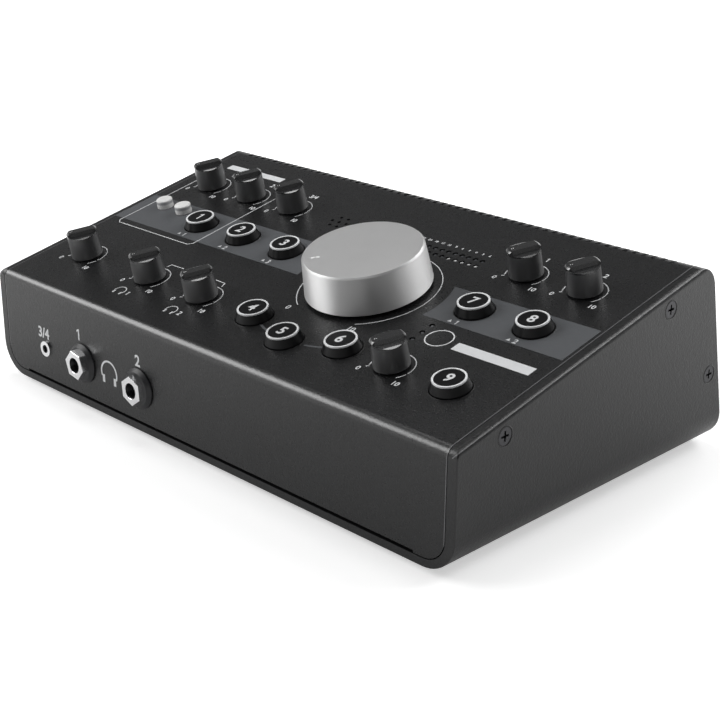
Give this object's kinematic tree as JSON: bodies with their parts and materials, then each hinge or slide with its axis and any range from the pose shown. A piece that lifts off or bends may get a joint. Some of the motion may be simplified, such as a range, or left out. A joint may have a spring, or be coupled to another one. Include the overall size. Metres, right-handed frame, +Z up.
{
  "type": "studio monitor controller",
  "caption": "Wedge-shaped desktop monitor controller with a large volume knob, small rotary knobs, round lit push buttons and headphone sockets in the front face.",
  "frame": {"origin": "middle of the plan of the whole object, on the surface that the feet stand on", "axes": "+X to the right along the front face, +Y from the front face to the back, +Z up"},
  "size_m": [0.264, 0.1638, 0.0847],
  "materials": {
    "case_paint": "satin powder coat",
    "cover_paint": "satin powder coat",
    "knob_aluminium": "turned, satin anodised",
    "knob_plastic": "satin",
    "cap_plastic": "semi gloss",
    "ring_lens": "translucent white",
    "milky_plastic": "translucent white",
    "black_plastic": "moulded",
    "socket_plastic": "moulded",
    "nut_chrome": "nickel plated",
    "screw_steel": "black zinc",
    "pot_metal": "plated",
    "board": "solder mask",
    "lamp": "diffused lens",
    "rubber": "matt"
  },
  "bodies": {
    "case": {"base_wrap": "case_paint", "top_cover": "cover_paint", "rear_panel": "cover_paint", "main_board": "board", "jack_boards": "board", "pot_bodies": "pot_metal", "switch_bodies": "black_plastic", "board_standoffs": "pot_metal", "case_screws": "screw_steel", "rubber_feet": "rubber", "jack_sockets": "socket_plastic", "jack_nuts": "nut_chrome", "jack_collars": "black_plastic", "mini_jack": "socket_plastic", "combo_sockets": "black_plastic", "usb_socket": "pot_metal", "dc_inlet": "black_plastic", "mic_capsule": "pot_metal", "indicator_leds": "lamp"},
    "gain_1_control": {"gain_1_knob": "knob_plastic", "gain_1_shaft": "pot_metal"},
    "gain_2_control": {"gain_2_knob": "knob_plastic", "gain_2_shaft": "pot_metal"},
    "line_trim_control": {"line_trim_knob": "knob_plastic", "line_trim_shaft": "pot_metal"},
    "direct_control": {"direct_knob": "knob_plastic", "direct_shaft": "pot_metal"},
    "phones_1_control": {"phones_1_knob": "knob_plastic", "phones_1_shaft": "pot_metal"},
    "phones_2_control": {"phones_2_knob": "knob_plastic", "phones_2_shaft": "pot_metal"},
    "talkback_control": {"talkback_knob": "knob_plastic", "talkback_shaft": "pot_metal"},
    "trim_a_control": {"trim_a_knob": "knob_plastic", "trim_a_shaft": "pot_metal"},
    "trim_b_control": {"trim_b_knob": "knob_plastic", "trim_b_shaft": "pot_metal"},
    "volume_control": {"volume_knob": "knob_aluminium", "volume_shaft": "pot_metal"},
    "source_1_key": {"source_1_button": "cap_plastic", "source_1_ring": "ring_lens"},
    "source_2_key": {"source_2_button": "cap_plastic", "source_2_ring": "ring_lens"},
    "source_3_key": {"source_3_button": "cap_plastic", "source_3_ring": "ring_lens"},
    "mono_key": {"mono_button": "cap_plastic", "mono_ring": "ring_lens"},
    "mute_key": {"mute_button": "cap_plastic", "mute_ring": "ring_lens"},
    "dim_key": {"dim_button": "cap_plastic", "dim_ring": "ring_lens"},
    "monitor_a_key": {"monitor_a_button": "cap_plastic", "monitor_a_ring": "ring_lens"},
    "monitor_b_key": {"monitor_b_button": "cap_plastic", "monitor_b_ring": "ring_lens"},
    "cue_key": {"cue_button": "cap_plastic", "cue_ring": "ring_lens"},
    "phantom_key": {"phantom_button": "milky_plastic"},
    "pad_key": {"pad_button": "milky_plastic"},
    "power_key": {"power_button": "black_plastic"}
  },
  "joints": [
    {"name": "gain_1_turn", "type": "hinge", "parent": "case", "child": "gain_1_control", "pos_m": [-0.1085, 0.02329, 0.07124], "axis": [0, 0.2267, -0.974], "range_deg": [0, 300]},
    {"name": "gain_2_turn", "type": "hinge", "parent": "case", "child": "gain_2_control", "pos_m": [-0.0811, 0.02329, 0.07124], "axis": [0, 0.2267, -0.974], "range_deg": [0, 300]},
    {"name": "line_trim_turn", "type": "hinge", "parent": "case", "child": "line_trim_control", "pos_m": [-0.0537, 0.02329, 0.07124], "axis": [0, 0.2267, -0.974], "range_deg": [0, 300]},
    {"name": "direct_turn", "type": "hinge", "parent": "case", "child": "direct_control", "pos_m": [-0.1048, -0.04976, 0.05424], "axis": [0, 0.2267, -0.974], "range_deg": [0, 300]},
    {"name": "phones_1_turn", "type": "hinge", "parent": "case", "child": "phones_1_control", "pos_m": [-0.0608, -0.04976, 0.05424], "axis": [0, 0.2267, -0.974], "range_deg": [0, 300]},
    {"name": "phones_2_turn", "type": "hinge", "parent": "case", "child": "phones_2_control", "pos_m": [-0.0274, -0.04976, 0.05424], "axis": [0, 0.2267, -0.974], "range_deg": [0, 300]},
    {"name": "talkback_turn", "type": "hinge", "parent": "case", "child": "talkback_control", "pos_m": [0.0769, -0.04976, 0.05424], "axis": [0, 0.2267, -0.974], "range_deg": [0, 300]},
    {"name": "trim_a_turn", "type": "hinge", "parent": "case", "child": "trim_a_control", "pos_m": [0.0765, 0.02329, 0.07124], "axis": [0, 0.2267, -0.974], "range_deg": [0, 300]},
    {"name": "trim_b_turn", "type": "hinge", "parent": "case", "child": "trim_b_control", "pos_m": [0.1039, 0.02329, 0.07124], "axis": [0, 0.2267, -0.974], "range_deg": [0, 300]},
    {"name": "volume_turn", "type": "hinge", "parent": "case", "child": "volume_control", "pos_m": [0.0285, -0.01226, 0.06296], "axis": [0, 0.2267, -0.974], "range_deg": [0, 300]},
    {"name": "source_1_press", "type": "slide", "parent": "case", "child": "source_1_key", "axis": [0, 0.2267, -0.974], "range_m": [0, 0.0012], "stiffness_N_per_m": 350, "springref_m": -0.0015},
    {"name": "source_2_press", "type": "slide", "parent": "case", "child": "source_2_key", "axis": [0, 0.2267, -0.974], "range_m": [0, 0.0012], "stiffness_N_per_m": 350, "springref_m": -0.0015},
    {"name": "source_3_press", "type": "slide", "parent": "case", "child": "source_3_key", "axis": [0, 0.2267, -0.974], "range_m": [0, 0.0012], "stiffness_N_per_m": 350, "springref_m": -0.0015},
    {"name": "mono_press", "type": "slide", "parent": "case", "child": "mono_key", "axis": [0, 0.2267, -0.974], "range_m": [0, 0.0012], "stiffness_N_per_m": 350, "springref_m": -0.0015},
    {"name": "mute_press", "type": "slide", "parent": "case", "child": "mute_key", "axis": [0, 0.2267, -0.974], "range_m": [0, 0.0012], "stiffness_N_per_m": 350, "springref_m": -0.0015},
    {"name": "dim_press", "type": "slide", "parent": "case", "child": "dim_key", "axis": [0, 0.2267, -0.974], "range_m": [0, 0.0012], "stiffness_N_per_m": 350, "springref_m": -0.0015},
    {"name": "monitor_a_press", "type": "slide", "parent": "case", "child": "monitor_a_key", "axis": [0, 0.2267, -0.974], "range_m": [0, 0.0012], "stiffness_N_per_m": 350, "springref_m": -0.0015},
    {"name": "monitor_b_press", "type": "slide", "parent": "case", "child": "monitor_b_key", "axis": [0, 0.2267, -0.974], "range_m": [0, 0.0012], "stiffness_N_per_m": 350, "springref_m": -0.0015},
    {"name": "cue_press", "type": "slide", "parent": "case", "child": "cue_key", "axis": [0, 0.2267, -0.974], "range_m": [0, 0.0012], "stiffness_N_per_m": 350, "springref_m": -0.0015},
    {"name": "phantom_press", "type": "slide", "parent": "case", "child": "phantom_key", "axis": [0, 0.2267, -0.974], "range_m": [0, 0.0012], "stiffness_N_per_m": 350, "springref_m": -0.0015},
    {"name": "pad_press", "type": "slide", "parent": "case", "child": "pad_key", "axis": [0, 0.2267, -0.974], "range_m": [0, 0.0012], "stiffness_N_per_m": 350, "springref_m": -0.0015},
    {"name": "power_press", "type": "slide", "parent": "case", "child": "power_key", "axis": [0, -0.974, -0.2267], "range_m": [0, 0.002], "stiffness_N_per_m": 400, "springref_m": -0.0015}
  ]
}
